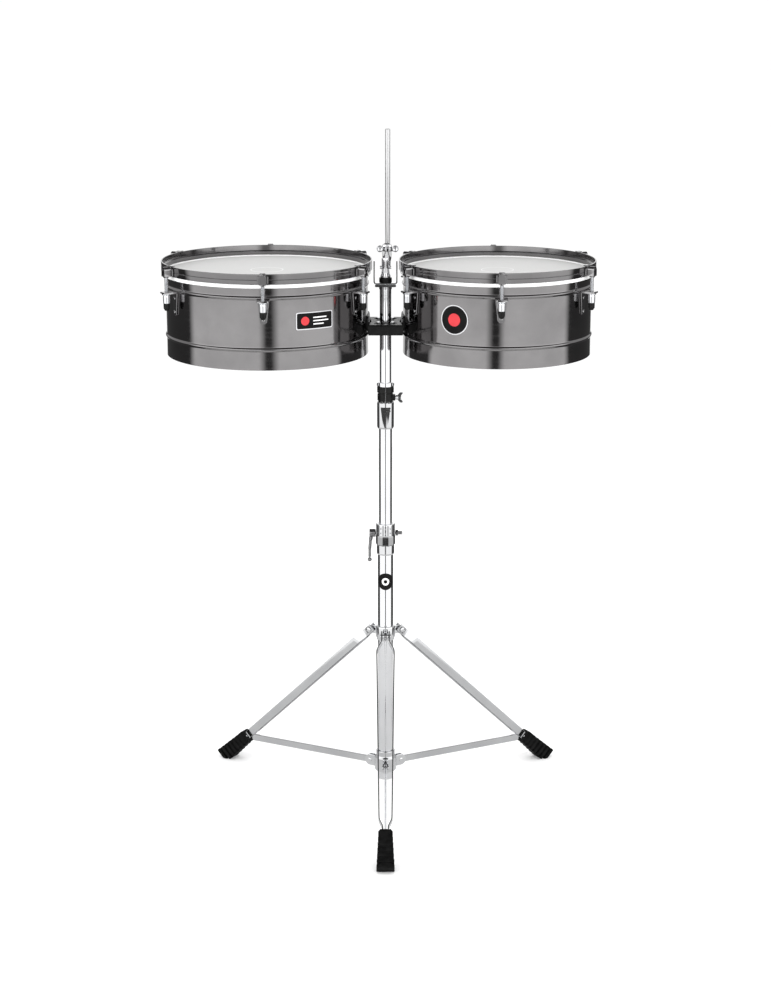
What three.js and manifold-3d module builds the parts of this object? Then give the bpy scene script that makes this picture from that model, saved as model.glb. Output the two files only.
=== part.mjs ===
// A pair of timbales on a double-braced tripod stand: two shallow steel drums of different size,
// carried side by side by a bracket on a telescopic column, with an accessory rod between them.
// Millimetres, +Z up, +X from the low drum to the high drum, the front leg towards -Y.
// The origin is on the floor, below the centre of the whole set's bounding box.
import * as THREE from "three";
import { mergeVertices } from "three/addons/utils/BufferGeometryUtils.js";
import Module from "manifold-3d";

const wasm = await Module();
wasm.setup();

// ---- Driving dimensions -------------------------------------------------------------------
const GAP = 0.3; // between pieces that touch
const FINE = 48; // sides of the drums' circles
const ROUND = 20; // sides of the column's circles
const SMALL = 10; // sides of rods, nuts and rivets

const LOW_DRUM = { name: "low", radius: 190.5, side: -1, lugPhase: -1 };
const HIGH_DRUM = { name: "high", radius: 177.8, side: 1, lugPhase: 0.5 };
const DRUM_TO_COLUMN = 33; // from a shell's wall to the column's axis
const WALL = 1.5; // steel shell
const SHELL_BOTTOM = 897;
const SHELL_TOP = 1052;
const BEAD_HEIGHTS = [935, 1029.5];
const BEAD = { half: 4.5, depth: 2.2 };
const HOOP_TOP = 1074;
const HOOP_BOTTOM = 1055.3;
const HOOP_STEP = 1063.5; // where the hoop's inner wall steps in
const HOOP_OUT = 8; // hoop's outer face, outside the shell's radius
const LUGS = 6;
const ROD_OUT = 18.5; // tension rod's axis, outside the shell's radius
const TAB_Z = [1025, 1028];
const CLAW = { bottom: 1056.5, arch: 1067.5, r: 7, deep: 16.5, top: 1076.2 };

const PIVOT_R = 33.3; // leg and stay pivots, from the column's axis
const LEG_PIVOT_Z = 337.4;
const HUB_PIVOT_Z = 62.4;
const rad = THREE.MathUtils.degToRad;
const LEG_ANGLE = rad(46.5); // from the vertical
const STAY_PIVOT_S = 411.5; // down the leg from its pivot
const STRAP = { width: 15, thick: 2.5 };
const AZIMUTHS = { front: -90, right: 30, left: 150 };

const LOWER_TUBE = { r: 15, wall: 1.5, z: [30, 553] };
const MIDDLE_TUBE = { r: 12.7, wall: 1.35, z: [352, 797] };
const UPPER_TUBE = { r: 11.1, wall: 1.5, z: [640, 1021.5] };
const BRACKET = { halfY: 48, z: [936, 956], wall: 3 };
const TILT_Z = 948;
const CLAMP_BOLT = { y: 21, z: 533 }; // lower clamp's cross bolt, along X
const ROD = { x: 4, y: 13.2, r: 4.75, z: [1077, 1315] };
const CLAMP_Z = 1094; // height of the rod clamp's bolt axis, which runs along Y

// ---- Helpers ------------------------------------------------------------------------------
const Z = new THREE.Vector3(0, 0, 1);
const v2 = (x, y) => new THREE.Vector2(x, y);

// A closed geometry as a manifold solid, with its shared vertices merged.
function solid(geometry) {
  const bare = new THREE.BufferGeometry();
  bare.setAttribute("position", geometry.getAttribute("position").clone());
  if (geometry.index) bare.setIndex(geometry.index.clone());
  const merged = mergeVertices(bare, 1e-3);
  const index = [...merged.index.array];
  const kept = [];
  for (let i = 0; i < index.length; i += 3) {
    const [a, b, c] = index.slice(i, i + 3);
    if (a !== b && b !== c && c !== a) kept.push(a, b, c);
  }
  return new wasm.Manifold(
    new wasm.Mesh({
      numProp: 3,
      vertProperties: new Float32Array(merged.getAttribute("position").array),
      triVerts: new Uint32Array(kept),
    }),
  );
}

function geometryOf(manifold) {
  const mesh = manifold.getMesh();
  const geometry = new THREE.BufferGeometry();
  geometry.setAttribute("position", new THREE.BufferAttribute(mesh.vertProperties, 3));
  geometry.setIndex(new THREE.BufferAttribute(mesh.triVerts, 1));
  const flat = geometry.toNonIndexed();
  flat.computeVertexNormals();
  return flat;
}

const join = (...parts) => geometryOf(parts.map(solid).reduce((a, b) => a.add(b)));
const cut = (body, ...tools) => geometryOf(tools.map(solid).reduce((a, b) => a.subtract(b), solid(body)));
const both = (a, b) => geometryOf(solid(a).intersect(solid(b)));

// A body turned about Z from a closed outline of [radius, height] points, outer side going up.
function turned(outline, sides = ROUND) {
  const geometry = new THREE.LatheGeometry(outline.map(([r, z]) => v2(r, z)), sides);
  return geometry.rotateX(Math.PI / 2);
}

const ring = (rIn, rOut, z0, z1, sides = ROUND) =>
  turned([[rIn, z0], [rOut, z0], [rOut, z1], [rIn, z1], [rIn, z0]], sides);

const disc = (r, z0, z1, sides = ROUND) => turned([[0, z0], [r, z0], [r, z1], [0, z1]], sides);

function box(x0, x1, y0, y1, z0, z1) {
  const geometry = new THREE.BoxGeometry(x1 - x0, y1 - y0, z1 - z0);
  return geometry.translate((x0 + x1) / 2, (y0 + y1) / 2, (z0 + z1) / 2);
}

// A round bar between two points.
function bar(from, to, r, sides = SMALL) {
  const a = new THREE.Vector3(...from);
  const along = new THREE.Vector3(...to).sub(a);
  const geometry = new THREE.CylinderGeometry(r, r, along.length(), sides);
  geometry.rotateX(Math.PI / 2).translate(0, 0, along.length() / 2);
  geometry.applyQuaternion(new THREE.Quaternion().setFromUnitVectors(Z, along.normalize()));
  return geometry.translate(a.x, a.y, a.z);
}

// An outline in X and Z, extruded along Y between y0 and y1.
function slab(points, y0, y1) {
  const shape = new THREE.Shape(points.map(([x, z]) => v2(x, z)));
  const geometry = new THREE.ExtrudeGeometry(shape, { depth: y1 - y0, bevelEnabled: false });
  return geometry.rotateX(Math.PI / 2).translate(0, y1, 0);
}

// Points of an arc about a centre, in degrees.
function arc(cx, cz, r, from, to, steps = 6) {
  return Array.from({ length: steps + 1 }, (_, i) => {
    const a = rad(from + ((to - from) * i) / steps);
    return [cx + r * Math.cos(a), cz + r * Math.sin(a)];
  });
}

const CHROME = { color: 0xd8dade, roughness: 0.12, metalness: 1 };
const BLACK_NICKEL = { color: 0x34363a, roughness: 0.16, metalness: 1 };
const BLACK_PAINT = { color: 0x1b1c1e, roughness: 0.45, metalness: 0.2 };
const RUBBER = { color: 0x111112, roughness: 0.8, metalness: 0 };
const FILM = { color: 0xe2e2de, roughness: 0.5, metalness: 0 };
const NYLON = { color: 0x222222, roughness: 0.6, metalness: 0 };

const timbales = new THREE.Group();
const set = new THREE.Group(); // everything, with the column's axis at X = 0, Y = 0
timbales.add(set);

function place(name, geometry, finish, parent = set) {
  const mesh = new THREE.Mesh(geometry, new THREE.MeshStandardMaterial(finish));
  mesh.name = name;
  parent.add(mesh);
  return mesh;
}

// A group turned about the vertical, so that its +X points along the given compass angle.
function spoke(degrees, parent = set) {
  const group = new THREE.Group();
  group.rotation.z = rad(degrees);
  parent.add(group);
  return group;
}

// ---- Drums --------------------------------------------------------------------------------
function shellOutline(radius) {
  const inner = radius - WALL;
  const beads = BEAD_HEIGHTS.flatMap((z) => [
    [radius, z - BEAD.half],
    [radius + BEAD.depth, z - BEAD.half * 0.4],
    [radius + BEAD.depth, z + BEAD.half * 0.4],
    [radius, z + BEAD.half],
  ]);
  return [
    [inner, SHELL_BOTTOM],
    [radius, SHELL_BOTTOM],
    ...beads,
    [radius, SHELL_TOP - 2],
    [radius - 2, SHELL_TOP],
    [inner - 2, SHELL_TOP],
    [inner, SHELL_TOP - 4],
    [inner, SHELL_BOTTOM],
  ];
}

// The bent bracket riveted to the shell, with a tab that a tension rod passes through.
function lugBracket(radius) {
  const tab = box(radius - WALL / 2, radius + 27.5, -12, 12, ...TAB_Z);
  const side = [
    [-11, TAB_Z[1]],
    [-7, 994],
    ...arc(0, 989, 6.5, 200, 340, 3),
    [7, 994],
    [11, TAB_Z[1]],
  ];
  const plate = slab(side, 0, 3.6).rotateZ(Math.PI / 2).translate(radius + 3, 0, 0);
  const rivets = [1015, 990].map((z) => bar([radius, 0, z], [radius + 4.6, 0, z], 3, 6));
  const hole = disc(4.2, TAB_Z[0] - 1, TAB_Z[1] + 1, 8).translate(radius + ROD_OUT, 0, 0);
  return cut(join(plate, tab, ...rivets), hole);
}

function buildShell(drum, angles) {
  const brackets = angles.map((a) => lugBracket(drum.radius).rotateZ(rad(a)));
  return join(turned(shellOutline(drum.radius), FINE), ...brackets);
}

function buildHead(radius) {
  const rim = radius + 1.9;
  return turned(
    [
      [0, SHELL_TOP + GAP],
      [radius + 0.4, SHELL_TOP + GAP],
      [radius + 0.4, 1048.3],
      [rim, 1048.3],
      [rim, SHELL_TOP + 1.5],
      [0, SHELL_TOP + 1.5],
    ],
    FINE,
  );
}

const buildFleshHoop = (radius) =>
  ring(radius + 1.9 + GAP, radius + 5.6, 1048, HOOP_BOTTOM - GAP, FINE);

function buildCounterhoop(radius) {
  const upper = radius + HOOP_OUT - 2.6;
  const lower = radius + 2.3;
  return turned(
    [
      [lower, HOOP_BOTTOM],
      [radius + HOOP_OUT, HOOP_BOTTOM],
      [radius + HOOP_OUT, HOOP_TOP],
      [upper, HOOP_TOP],
      [upper, HOOP_STEP],
      [lower, HOOP_STEP],
      [lower, HOOP_BOTTOM],
    ],
    FINE,
  );
}

// A claw that grips the hoop, with its tension rod, tall nut and end cap.
function buildTensionHook(radius) {
  const face = radius + HOOP_OUT + GAP;
  const { bottom, r, deep, top } = CLAW;
  const arch = [[-r, bottom], [r, bottom], ...arc(0, CLAW.arch, r, 0, 180, 6)];
  const body = slab(arch, 0, deep).rotateZ(Math.PI / 2).translate(face + deep, 0, 0);
  const wings = box(face, face + 3, -10.2, 10.2, 1057, 1071);
  const neck = box(face, face + 4, -5.5, 5.5, 1062, top);
  const lip = box(radius + 2, face + 4, -5.5, 5.5, HOOP_TOP + GAP, top);
  const rod = bar([0, 0, 1020], [0, 0, 1060], 3.5, 8);
  const nut = turned(
    [[0, 1007], [6.5, 1007], [6.5, 1022.4], [8.4, 1022.8], [8.4, 1024.7], [0, 1024.7]],
    8,
  );
  const cap = turned([[0, 993], [3.6, 993.8], [6.1, 998], [6.1, 1007.5], [0, 1007.5]], 8);
  const stem = join(rod, nut, cap).translate(radius + ROD_OUT, 0, 0);
  return join(body, wings, neck, lip, stem);
}

// The low drum's badge is a bent rectangle, the high drum's a round plate. Both face the front.
function buildBadge(drum) {
  const r0 = drum.radius + GAP;
  const sheet = ring(r0, r0 + 0.9, 960, 1012, FINE * 2);
  if (drum.side < 0) {
    return both(sheet, box(r0 - 40, r0 + 9, -37, 37, 968.5, 1001.5)).rotateZ(rad(-90 + 30));
  }
  const punch = bar([r0 - 30, 0, 984.5], [r0 + 9, 0, 984.5], 27.5, 32);
  return both(sheet, punch).rotateZ(rad(-90 - 28.7));
}

// The plate bolted to the shell, with the stud that the drum tilts on.
function buildMountPlate(drum) {
  const r = drum.radius;
  const sheet = ring(r + GAP, r + 3.3, 941, 970, FINE * 2);
  const plate = both(sheet, box(r - 12, r + 9, -34, 34, 940, 971));
  const stud = bar([r + 0.6, 0, TILT_Z], [r + 16, 0, TILT_Z], 4.5, 12);
  const made = join(plate, stud);
  return drum.side < 0 ? made : made.rotateZ(Math.PI);
}

function addDrum(drum) {
  const group = new THREE.Group();
  group.position.x = drum.side * (drum.radius + DRUM_TO_COLUMN);
  set.add(group);
  const lugAngles = Array.from({ length: LUGS }, (_, i) => -90 - drum.lugPhase + (360 / LUGS) * i);
  place(`${drum.name}_shell`, buildShell(drum, lugAngles), BLACK_NICKEL, group);
  place(`${drum.name}_head`, buildHead(drum.radius), FILM, group);
  place(`${drum.name}_flesh_hoop`, buildFleshHoop(drum.radius), CHROME, group);
  place(`${drum.name}_counterhoop`, buildCounterhoop(drum.radius), BLACK_NICKEL, group);
  place(`${drum.name}_badge`, buildBadge(drum), BLACK_PAINT, group);
  place(`${drum.name}_mount_plate`, buildMountPlate(drum), BLACK_PAINT, group);
  lugAngles.forEach((angle, i) => {
    const at = spoke(angle, group);
    place(`${drum.name}_tension_hook_${i + 1}`, buildTensionHook(drum.radius), CHROME, at);
  });
}

// ---- Cross bracket ------------------------------------------------------------------------
// An inverted channel between the shells. Its ends follow the shells and are clear of them.
function buildCrossBracket() {
  const { halfY, z, wall } = BRACKET;
  const outer = box(-42, 42, -halfY, halfY, ...z);
  const hollow = box(-50, 50, -halfY + wall, halfY - wall, z[0] - 1, z[1] - wall);
  const windows = [-26, 26].map((y) => box(-21.5, 21.5, y - 5.5, y + 5.5, z[0], z[1] + 1));
  const bore = disc(UPPER_TUBE.r + 0.4, z[0] - 5, z[1] + 5);
  const shells = [LOW_DRUM, HIGH_DRUM].map((drum) =>
    disc(drum.radius + 4.6, z[0] - 5, z[1] + 5, FINE * 2).translate(
      drum.side * (drum.radius + DRUM_TO_COLUMN),
      0,
      0,
    ),
  );
  return cut(outer, hollow, ...windows, bore, ...shells);
}

// The two-screw clamp block that fixes the bracket to the upper tube, inside the channel.
function buildBracketClamp() {
  const { z, wall } = BRACKET;
  const top = z[1] - wall - GAP;
  const block = box(-23, 23, -19, 19, z[0] - 4, top);
  const screw = bar([0, -18, 943], [0, -27, 943], 4, 8);
  const seats = [-1, 1].map((s) => bar([s * 16, 0, TILT_Z], [s * 30, 0, TILT_Z], 4.9, 12));
  return cut(join(block, screw), disc(UPPER_TUBE.r + 0.3, 900, 1000), ...seats);
}

// ---- Column -------------------------------------------------------------------------------
const tube = ({ r, wall, z }, sides = ROUND) => ring(r - wall, r, ...z, sides);

// The cast clamp on the lower tube's top, split behind the tube between two cheeks.
function buildLowerClamp() {
  const bore = LOWER_TUBE.r + 0.2;
  const inner = MIDDLE_TUBE.r + 0.5;
  const body = turned([
    [bore, 496.6],
    [15.9, 496.6],
    [17, 499.5],
    [17, 515],
    [18.4, 517],
    [18.4, 535],
    [19, 538],
    [19, 558.6],
    [inner, 558.6],
    [inner, 553.4],
    [bore, 553.4],
    [bore, 496.6],
  ]);
  const cheeks = box(-19, 19, 12, 27, 524, 542);
  const slit = box(-1, 1, 10, 30, 490, 560);
  const { y, z } = CLAMP_BOLT;
  return cut(join(body, cheeks), disc(bore, 490, 553.4), slit, bar([-30, y, z], [30, y, z], 3.3));
}

// The cam lever beside the clamp: a round cam with an arm that ends in a small ball.
function buildLever() {
  const { y, z } = CLAMP_BOLT;
  const cam = bar([-31, y, z], [-19.4, y, z], 8, 12);
  const arm = bar([-27, y, z - 3], [-31, y, z - 53], 2.6, 8);
  const tip = new THREE.SphereGeometry(4.2, 10, 6).translate(-31, y, z - 54);
  return cut(join(cam, arm, tip), bar([-25, y, z], [-10, y, z], 3.3));
}

function buildLowerBolt() {
  const { y, z } = CLAMP_BOLT;
  return join(bar([-24.6, y, z], [25, y, z], 2.8), bar([19.4, y, z], [33, y, z], 5));
}

const buildLowerBush = () => ring(MIDDLE_TUBE.r + 0.08, LOWER_TUBE.r - LOWER_TUBE.wall - 0.1, 515, 552);

function buildUpperClamp() {
  return turned([
    [MIDDLE_TUBE.r + 0.2, 748],
    [14.6, 748],
    [16.2, 751.5],
    [16.4, 798.5],
    [15.2, 801],
    [11.6, 801],
    [11.6, 797.4],
    [MIDDLE_TUBE.r + 0.2, 797.4],
    [MIDDLE_TUBE.r + 0.2, 748],
  ]);
}

function buildUpperCollar() {
  const body = turned([
    [11.6, 801.3],
    [14.2, 801.3],
    [14.2, 816.6],
    [13.6, 817.4],
    [16, 818.2],
    [16, 829.7],
    [11.6, 829.7],
    [11.6, 801.3],
  ]);
  const ear = box(12, 19, -6, 6, 802.5, 814);
  const slit = box(-0.8, 0.8, -20, -5, 800, 831);
  const hole = bar([11, 0, 808], [25, 0, 808], 3);
  return cut(join(body, ear), slit, hole, disc(11.6, 800, 831));
}

function buildUpperWingBolt() {
  const shank = bar([13.2, 0, 808], [21, 0, 808], 2.7);
  const hub = bar([19.6, 0, 808], [26, 0, 808], 4.6);
  const wings = [1, -1].map((s) => bar([24, 0, 808 + s * 2], [31, 0, 808 + s * 8.4], 2.4, 10));
  return join(shank, hub, ...wings);
}

function buildMemoryRing() {
  const bore = UPPER_TUBE.r + 0.35;
  const ears = box(-16.6, 16.6, -4.5, 4.5, 831, 837);
  return cut(join(ring(bore, 14.6, 830, 838), ears), disc(bore, 825, 845));
}

// ---- Accessory holder at the column's top -------------------------------------------------
function buildTopPlate() {
  const skirt = ring(UPPER_TUBE.r + 0.2, 13.6, 1008, 1022.6);
  const plate = box(-20, 20, -15, 15, 1022.4, 1026.4);
  return cut(join(skirt, plate), disc(UPPER_TUBE.r + 0.2, 1000, 1021.8), disc(4.2, 1000, 1030));
}

// A flat strip bent up at both ends, whose arms stand beside the hoops.
function buildSpacerStrip() {
  const half = 22.6;
  const bottom = 1026.7;
  const top = 1071;
  const thick = 2.4;
  const bend = 5;
  const outer = [
    ...arc(-half + bend, bottom + bend, bend, 180, 270, 4),
    ...arc(half - bend, bottom + bend, bend, 270, 360, 4),
    [half, top],
    [half - thick, top],
    ...arc(half - bend, bottom + bend, bend - thick, 360, 270, 4),
    ...arc(-half + bend, bottom + bend, bend - thick, 270, 180, 4),
    [-half + thick, top],
    [-half, top],
  ];
  return cut(slab(outer, -7.5, 7.5), disc(4.2, 1020, 1035, SMALL));
}

const buildTopCollar = () => ring(4.2, 12, 1029.4, 1038.8);

// The post, with a stud that screws down through the collar, strip and plate, and a flat head
// that the rod clamp's bolt passes through.
function buildRodPost() {
  const post = turned([
    [0, 1012],
    [3.8, 1012],
    [3.8, 1039.1],
    [9.6, 1039.1],
    [9.2, 1044],
    [7.4, 1048],
    [7.2, 1076],
    [0, 1076],
  ]);
  const head = slab([...arc(ROD.x, CLAMP_Z, 10, -20, 200, 8), [-7, 1072], [7, 1072]], -7, 7.2);
  return cut(join(post, head), bar([ROD.x, -10, CLAMP_Z], [ROD.x, 10, CLAMP_Z], 3.4));
}

// The eyebolt that turns in the post's head and holds the rod behind it.
function buildRodClamp() {
  const { x, y, r } = ROD;
  const eye = bar([x, 7.6, CLAMP_Z], [x, 20.6, CLAMP_Z], 8, 16);
  const shank = bar([x, -22, CLAMP_Z], [x, 9, CLAMP_Z], 2.9);
  return cut(join(eye, shank), bar([x, y, 1060], [x, y, 1130], r + 0.3, 12));
}

function buildRodWingNut() {
  const { x } = ROD;
  const hub = bar([x, -7.4, CLAMP_Z], [x, -18, CLAMP_Z], 6.4, 12);
  const wings = [1, -1].map((s) => {
    const web = bar([x + s * 3, -14, CLAMP_Z], [x + s * 13, -15, CLAMP_Z + 1], 2.4, 8);
    const lobe = bar([x + s * 14.4, -17.4, CLAMP_Z + 1], [x + s * 14.4, -12.4, CLAMP_Z + 1], 6.4, 12);
    return join(web, lobe);
  });
  return cut(join(hub, ...wings), bar([x, -5, CLAMP_Z], [x, -20, CLAMP_Z], 3.3));
}

function buildAccessoryRod() {
  const { x, y, r, z } = ROD;
  return bar([x, y, z[0]], [x, y, z[1]], r, 12);
}

// ---- Tripod -------------------------------------------------------------------------------
// Two flat ears with a round end, on opposite sides of a spoke's middle plane.
function ear(rIn, z, size, halfGap, thick) {
  const outline = [[rIn, z - size], ...arc(PIVOT_R, z, size, -90, 90, 6), [rIn, z + size]];
  if (!halfGap) return slab(outline, -thick / 2, thick / 2);
  return join(
    slab(outline, halfGap, halfGap + thick),
    slab(outline, -halfGap - thick, -halfGap),
    box(rIn, rIn + 2.5, -halfGap - thick / 2, halfGap + thick / 2, z - size, z + size),
  );
}

function aroundTripod(make) {
  return Object.values(AZIMUTHS).map((a) => make().rotateZ(rad(a)));
}

// The collar fixed to the lower tube. Each ear carries a pin whose heads hold two straps.
function buildLegCollar() {
  const bore = LOWER_TUBE.r + 0.2;
  const sleeve = turned([
    [bore, 322],
    [16.6, 322],
    [18.4, 328],
    [18.4, 350.3],
    [bore, 350.3],
    [bore, 322],
  ]);
  const arms = aroundTripod(() =>
    join(
      ear(17, LEG_PIVOT_Z, 8, 0, 5),
      bar([PIVOT_R, -5.6, LEG_PIVOT_Z], [PIVOT_R, 5.6, LEG_PIVOT_Z], 5, SMALL),
      bar([PIVOT_R, -10.6, LEG_PIVOT_Z], [PIVOT_R, 10.6, LEG_PIVOT_Z], 2.9, SMALL),
      bar([PIVOT_R, -10.6, LEG_PIVOT_Z], [PIVOT_R, -9, LEG_PIVOT_Z], 5, SMALL),
      bar([PIVOT_R, 9, LEG_PIVOT_Z], [PIVOT_R, 10.6, LEG_PIVOT_Z], 5, SMALL),
    ),
  );
  return join(sleeve, ...arms);
}

// The hub that slides on the lower tube and draws the stays up when the tripod folds.
function buildLegHub() {
  const bore = LOWER_TUBE.r + 0.35;
  const sleeve = turned([
    [bore, 47],
    [20.5, 47],
    [21.5, 50],
    [21.5, 76],
    [18.4, 78],
    [18.4, 90],
    [bore, 90],
    [bore, 47],
  ]);
  const arms = aroundTripod(() =>
    join(
      ear(19, HUB_PIVOT_Z, 11, 3.2, 2.4),
      bar([PIVOT_R, -6.6, HUB_PIVOT_Z], [PIVOT_R, 6.6, HUB_PIVOT_Z], 2.9, SMALL),
    ),
  );
  return join(sleeve, ...arms);
}

// Half of a leg. In the leg's own frame it runs down -Z from the pivot, in a plane beside the
// middle one: close at the pivot, spread over the long middle stretch and close again at the foot.
const SPREAD = [
  [-9, 7.3],
  [15, 7.3],
  [33, 17],
  [388, 12],
  [401, 5.2],
  [470, 5.2],
];

function buildStrap(side) {
  const half = STRAP.thick / 2;
  const near = SPREAD.map(([s, w]) => [side * (w - half), -s]);
  const far = SPREAD.map(([s, w]) => [side * (w + half), -s]);
  const loop = side > 0 ? [...near, ...far.reverse()] : [...far, ...near.reverse()];
  const path = new THREE.Shape(loop.map(([y, z]) => v2(y, z)));
  const band = new THREE.ExtrudeGeometry(path, { depth: STRAP.width, bevelEnabled: false });
  band.rotateX(Math.PI / 2).rotateZ(Math.PI / 2).translate(-STRAP.width / 2, 0, 0);
  const w = STRAP.width / 2;
  const face = [...arc(0, 0, w, 0, 180, 8), [-w, -468], [w, -468]];
  const blank = slab(face, -25, 25);
  const hole = bar([0, -30, 0], [0, 30, 0], 3.3, SMALL);
  const stud = bar(
    [0, side * 2.7, -STAY_PIVOT_S],
    [0, side * 8.4, -STAY_PIVOT_S],
    3.6,
    SMALL,
  );
  return join(cut(both(band, blank), hole), stud);
}

// The ribbed rubber boot, flat where it stands on the floor. It has a slot for the stay's end.
function buildFoot() {
  const outline = [
    [319.5, 45.5],
    [333.5, 27],
    [344, 12],
    [355, 0],
    [371, 0],
    [380, 6],
    [388.5, 18.6],
    [386, 24],
    [343, 59],
  ];
  const boot = slab(outline, -17, 17);
  const taper = 0.07;
  const wedge = [-1, 1].map((s) =>
    slab([[300, 0], [400, 0], [400, 80], [300, 80]], 0, 20)
      .rotateX(s * taper)
      .translate(0, s > 0 ? 17.2 : -17.2 - 20, 0),
  );
  return cut(boot, ...wedge);
}

// Cut in the leg's frame: a pocket for the two straps and a slot that the stay swings through.
function bootPockets() {
  const w = STRAP.width / 2 + GAP;
  const t = 5.2 + STRAP.thick / 2 + GAP;
  const pocket = box(-w, w, -t, t, -468.4, -380);
  const slot = box(-40, 40, -3.3, 3.3, -462, -380);
  const studs = bar([0, -9, -STAY_PIVOT_S], [0, 9, -STAY_PIVOT_S], 4.2, SMALL);
  return join(pocket, slot, studs);
}

function legFrame(parent) {
  const frame = new THREE.Group();
  frame.position.set(PIVOT_R, 0, LEG_PIVOT_Z);
  frame.rotation.y = -LEG_ANGLE;
  parent.add(frame);
  return frame;
}

function buildStay() {
  const reach = PIVOT_R + STAY_PIVOT_S * Math.sin(LEG_ANGLE);
  const drop = LEG_PIVOT_Z - STAY_PIVOT_S * Math.cos(LEG_ANGLE);
  const slope = Math.atan2(HUB_PIVOT_Z - drop, reach - PIVOT_R);
  const length = Math.hypot(HUB_PIVOT_Z - drop, reach - PIVOT_R);
  const outline = [...arc(0, 0, 7, 90, 270, 8), ...arc(length, 0, 7, -90, 90, 8)];
  const flat = cut(slab(outline, -2, 2), bar([0, -5, 0], [0, 5, 0], 3.3, SMALL));
  return flat.rotateY(slope).translate(PIVOT_R, 0, HUB_PIVOT_Z);
}

function addTripod() {
  place("leg_collar", buildLegCollar(), CHROME);
  place("leg_hub", buildLegHub(), CHROME);
  const inLegFrame = new THREE.Matrix4()
    .makeRotationY(-LEG_ANGLE)
    .setPosition(PIVOT_R, 0, LEG_PIVOT_Z);
  for (const [name, azimuth] of Object.entries(AZIMUTHS)) {
    const at = spoke(azimuth);
    const leg = legFrame(at);
    place(`${name}_leg_strap_a`, buildStrap(1), CHROME, leg);
    place(`${name}_leg_strap_b`, buildStrap(-1), CHROME, leg);
    const foot = cut(buildFoot(), bootPockets().applyMatrix4(inLegFrame));
    place(`${name}_foot`, foot, RUBBER, at);
    place(`${name}_stay`, buildStay(), CHROME, at);
  }
}

// ---- The whole set ------------------------------------------------------------------------
function addColumn() {
  place("lower_tube", tube(LOWER_TUBE), CHROME);
  place("tube_badge", ring(LOWER_TUBE.r + GAP, LOWER_TUBE.r + 0.9, 426.5, 461), BLACK_PAINT);
  place("lower_clamp", buildLowerClamp(), CHROME);
  place("lower_clamp_lever", buildLever(), CHROME);
  place("lower_clamp_bolt", buildLowerBolt(), CHROME);
  place("lower_bush", buildLowerBush(), NYLON);
  place("middle_tube", tube(MIDDLE_TUBE), CHROME);
  place("upper_clamp", buildUpperClamp(), CHROME);
  place("upper_clamp_collar", buildUpperCollar(), BLACK_PAINT);
  place("upper_wing_bolt", buildUpperWingBolt(), CHROME);
  place("memory_ring", buildMemoryRing(), CHROME);
  place("upper_tube", tube(UPPER_TUBE), CHROME);
  place("cross_bracket", buildCrossBracket(), BLACK_PAINT);
  place("bracket_clamp", buildBracketClamp(), BLACK_PAINT);
  place("top_plate", buildTopPlate(), CHROME);
  place("spacer_strip", buildSpacerStrip(), CHROME);
  place("top_collar", buildTopCollar(), BLACK_PAINT);
  place("rod_post", buildRodPost(), CHROME);
  place("rod_clamp", buildRodClamp(), CHROME);
  place("rod_wing_nut", buildRodWingNut(), CHROME);
  place("accessory_rod", buildAccessoryRod(), CHROME);
}

addTripod();
addColumn();
addDrum(LOW_DRUM);
addDrum(HIGH_DRUM);

// The origin is below the middle of the bounding box.
timbales.updateMatrixWorld(true);
const bounds = new THREE.Box3().setFromObject(set, true);
const middle = bounds.getCenter(new THREE.Vector3());
set.position.set(-middle.x, -middle.y, -bounds.min.z);

export default timbales;
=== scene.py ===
import math

import bmesh
import bpy
from mathutils import Matrix, Vector


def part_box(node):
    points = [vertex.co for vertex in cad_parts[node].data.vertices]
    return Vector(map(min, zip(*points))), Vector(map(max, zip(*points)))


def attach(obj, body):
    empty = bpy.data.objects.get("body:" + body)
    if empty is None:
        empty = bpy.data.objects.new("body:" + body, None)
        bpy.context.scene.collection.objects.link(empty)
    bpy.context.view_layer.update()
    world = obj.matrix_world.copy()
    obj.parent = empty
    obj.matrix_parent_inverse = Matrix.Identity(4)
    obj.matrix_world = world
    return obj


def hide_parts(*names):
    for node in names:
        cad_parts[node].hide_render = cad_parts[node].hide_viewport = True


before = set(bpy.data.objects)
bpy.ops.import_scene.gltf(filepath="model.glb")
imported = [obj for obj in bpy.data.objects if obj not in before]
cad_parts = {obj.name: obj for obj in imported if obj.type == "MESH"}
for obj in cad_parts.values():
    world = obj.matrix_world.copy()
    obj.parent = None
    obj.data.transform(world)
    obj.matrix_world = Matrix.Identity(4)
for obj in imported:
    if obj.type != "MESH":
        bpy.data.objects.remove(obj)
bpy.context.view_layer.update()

# Lengths are in millimetres from the foot of the column: its axis is x = 0, y = 0, the floor z = 0.
# Only COLUMN, and the floor, lights and camera at the end, are in metres in the shared frame.
MM = 0.001
_lo, _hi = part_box("lower_tube")
COLUMN = Vector(((_lo.x + _hi.x) / 2, (_lo.y + _hi.y) / 2, 0))

# r is a shell's radius, x its axis, side its side of the column and phase the turn of its hooks.
LOW = {"name": "low", "r": 190.5, "x": -223.5, "side": -1, "phase": -1.0}
HIGH = {"name": "high", "r": 177.8, "x": 210.8, "side": 1, "phase": 0.5}
SHELL_Z = (897, 1052)  # bottom and top of both shells
BEADS = (935, 1029.5)  # heights of the beads
BEAD_DEPTH, BEAD_HALF = 2.2, 4.6
TENSION_OUT = 18.5  # from a shell's face to the axes of its tension rods
TILT_Z = 948  # the axis both drums tilt on
ROD_X, ROD_Y, EYE_Z = 4, 13.2, 1094  # the accessory rod's axis, and the height of its eye
PIVOT_R, LEG_Z, HUB_Z = 33.3, 337.4, 62.4  # pivots of the legs and stays: from the axis, and heights
LEG_ANGLE = math.radians(46.5)  # from the column
STAY_S = 411.5  # down a leg, from its pivot to the stay's stud
AZIMUTHS = {"front": -90, "right": 30, "left": 150}
CAM_Y, CAM_Z = 21, 533  # the axis of the lower clamp's bolt
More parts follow.
